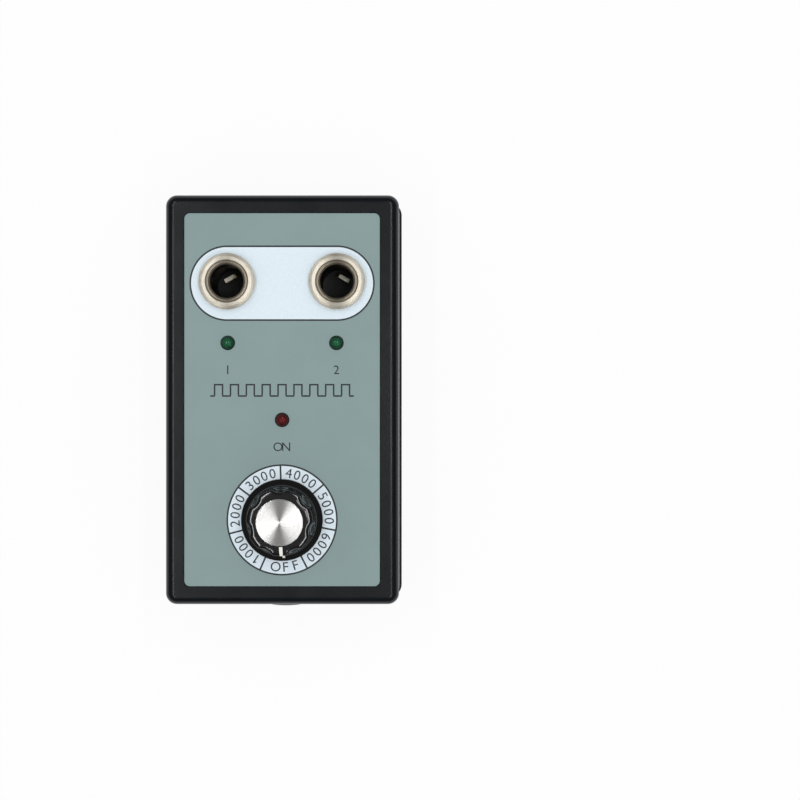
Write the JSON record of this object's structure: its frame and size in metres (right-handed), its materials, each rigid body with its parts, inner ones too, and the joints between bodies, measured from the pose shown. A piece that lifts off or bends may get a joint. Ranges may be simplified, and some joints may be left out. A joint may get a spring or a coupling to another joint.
{
  "type": "spark plug tester",
  "caption": "Bench box that fires spark plugs: plug sockets with sprung contacts and signal lamps on a printed panel, a switched speed knob on a dial and a low-voltage inlet.",
  "frame": {"origin": "centre of the underside, where the box lies on a bench", "axes": "+Z leaves the panel, +Y runs from the knob towards the plug sockets, +X is to the right seen from above"},
  "size_m": [0.0856, 0.1501, 0.0571],
  "materials": {
    "cover_plastic": "satin moulded black",
    "case_plastic": "fine moulded texture, black",
    "label_film": "printed film, grey-green",
    "nickel": "turned, nickel plated",
    "steel": "zinc plated",
    "brass": "rolled strip and turned rod",
    "aluminium": "spun",
    "knob_plastic": "polished black",
    "black_plastic": "moulded black",
    "white_plastic": "pale moulded",
    "green_lens": "clear tinted resin, unlit",
    "red_lens": "clear tinted resin, unlit",
    "wafer": "laminate sheet",
    "lead_cover": "insulated wire"
  },
  "bodies": {
    "case": {"front_cover": "cover_plastic", "case_body": "case_plastic", "back_cover": "cover_plastic", "case_screws": "steel", "panel_label": "label_film", "socket_nut_left": "nickel", "socket_nut_right": "nickel", "socket_sleeve_left": "nickel", "socket_sleeve_right": "nickel", "socket_insulator_left": "black_plastic", "socket_insulator_right": "black_plastic", "socket_earth_tags": "brass", "contact_base_left": "brass", "contact_base_right": "brass", "signal_lamp_left": "green_lens", "signal_lamp_right": "green_lens", "power_lamp": "red_lens", "lamp_legs": "steel", "control_bush": "nickel", "control_washer": "steel", "control_nut": "nickel", "control_can": "aluminium", "control_track": "wafer", "control_lugs": "steel", "control_switch": "black_plastic", "switch_lugs": "steel", "inlet_body": "black_plastic", "inlet_nut": "black_plastic", "inlet_pin": "nickel", "inlet_spring": "brass", "circuit_board": "wafer", "board_screws": "steel", "spark_coil_left": "black_plastic", "spark_coil_right": "black_plastic", "drive_transistors": "black_plastic", "filter_capacitor": "aluminium", "timer_chip": "black_plastic", "film_capacitors": "white_plastic", "resistors": "white_plastic", "spark_lead_left": "lead_cover", "spark_lead_right": "lead_cover", "earth_leads": "lead_cover", "control_leads": "lead_cover", "power_leads": "lead_cover"},
    "knob": {"knob_body": "knob_plastic", "knob_cap": "aluminium", "knob_insert": "brass", "knob_grub_screw": "steel", "control_shaft": "steel", "control_rotor": "white_plastic", "control_wiper": "brass"},
    "left_contact": {"contact_arm_left": "brass"},
    "right_contact": {"contact_arm_right": "brass"}
  },
  "joints": [
    {"name": "knob_turn", "type": "hinge", "parent": "case", "child": "knob", "pos_m": [0, -0.0429, 0.0493], "axis": [0, 0, -1], "range_deg": [0, 300]},
    {"name": "left_contact_bend", "type": "hinge", "parent": "case", "child": "left_contact", "pos_m": [-0.01948, 0.04625, 0.00885], "axis": [0.5, -0.866, 0], "range_deg": [0, 10], "stiffness_Nm_per_rad": 0.02},
    {"name": "right_contact_bend", "type": "hinge", "parent": "case", "child": "right_contact", "pos_m": [0.01948, 0.04625, 0.00885], "axis": [0.5, 0.866, 0], "range_deg": [0, 10], "stiffness_Nm_per_rad": 0.02}
  ]
}
